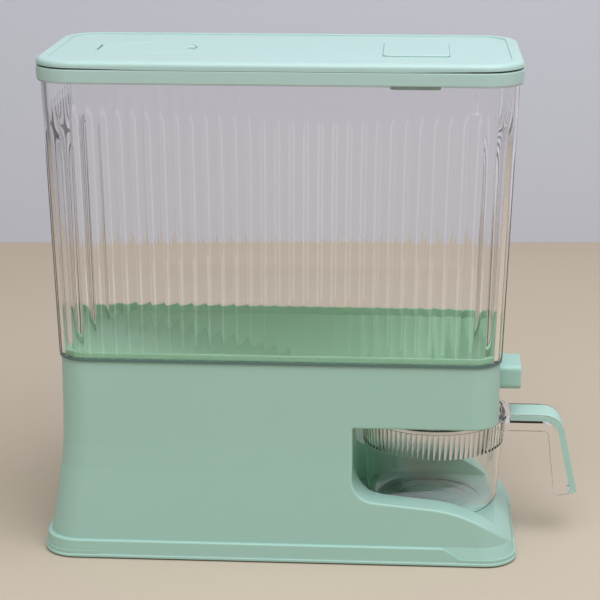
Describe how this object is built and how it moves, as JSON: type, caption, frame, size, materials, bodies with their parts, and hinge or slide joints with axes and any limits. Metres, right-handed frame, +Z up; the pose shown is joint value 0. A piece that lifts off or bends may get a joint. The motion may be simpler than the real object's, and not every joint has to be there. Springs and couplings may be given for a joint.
{
  "type": "rice storage bin",
  "caption": "Rice storage bin: clear fluted bucket with a lift-off lid on a moulded base whose push button doses rice into a clear cup.",
  "frame": {"origin": "on the floor, below the middle of the bin's overall length and depth", "axes": "+X along the length towards the cup's handle, +Y towards the back, +Z up"},
  "size_m": [0.3886, 0.1508, 0.36],
  "materials": {
    "mint_body": "satin moulded plastic",
    "mint_hopper": "satin moulded plastic",
    "mint_lid": "satin moulded plastic",
    "mint_grip": "satin moulded plastic",
    "clear_bucket": "clear moulded plastic",
    "clear_cup": "clear moulded plastic",
    "gasket_green": "matte silicone",
    "seal_silicone": "matte silicone",
    "pad_silicone": "matte silicone",
    "screw_steel": "zinc plated",
    "spring_steel": "drawn wire"
  },
  "bodies": {
    "base": {"base_shell": "mint_body", "base_feet": "pad_silicone", "hopper": "mint_hopper", "hopper_screws": "screw_steel", "gate_guide": "mint_hopper", "guide_screws": "screw_steel", "return_spring_front": "spring_steel", "return_spring_back": "spring_steel", "bucket_gasket": "gasket_green", "bucket": "clear_bucket", "lid_frame": "mint_lid"},
    "shutter": {"gate_slider": "mint_hopper", "push_button": "mint_body", "button_screws": "screw_steel"},
    "cup": {"measuring_cup": "clear_cup", "handle_grip": "mint_grip"},
    "lid": {"lid_cover": "mint_lid", "lid_seal": "seal_silicone", "cap_hinge_pin": "spring_steel"},
    "cap": {"flip_cap": "mint_lid", "cap_seal": "seal_silicone"},
    "freshness": {"freshness_cover": "mint_lid", "freshness_box": "mint_lid"}
  },
  "joints": [
    {"name": "button_press", "type": "slide", "parent": "base", "child": "shutter", "axis": [-1, 0, 0], "range_m": [0, 0.011], "stiffness_N_per_m": 600, "springref_m": -0.004, "deforming": ["return_spring_front", "return_spring_back"]},
    {"name": "cup_slide", "type": "slide", "parent": "base", "child": "cup", "axis": [1, 0, 0], "range_m": [0, 0.13]},
    {"name": "lid_lift", "type": "slide", "parent": "base", "child": "lid", "axis": [0, 0, 1], "range_m": [0, 0.06]},
    {"name": "cap_flip", "type": "hinge", "parent": "lid", "child": "cap", "pos_m": [-0.1507, 0, 0.3569], "axis": [0, -1, 0], "range_deg": [0, 105]},
    {"name": "freshness_lift", "type": "slide", "parent": "lid", "child": "freshness", "axis": [0, 0, 1], "range_m": [0, 0.04]}
  ]
}
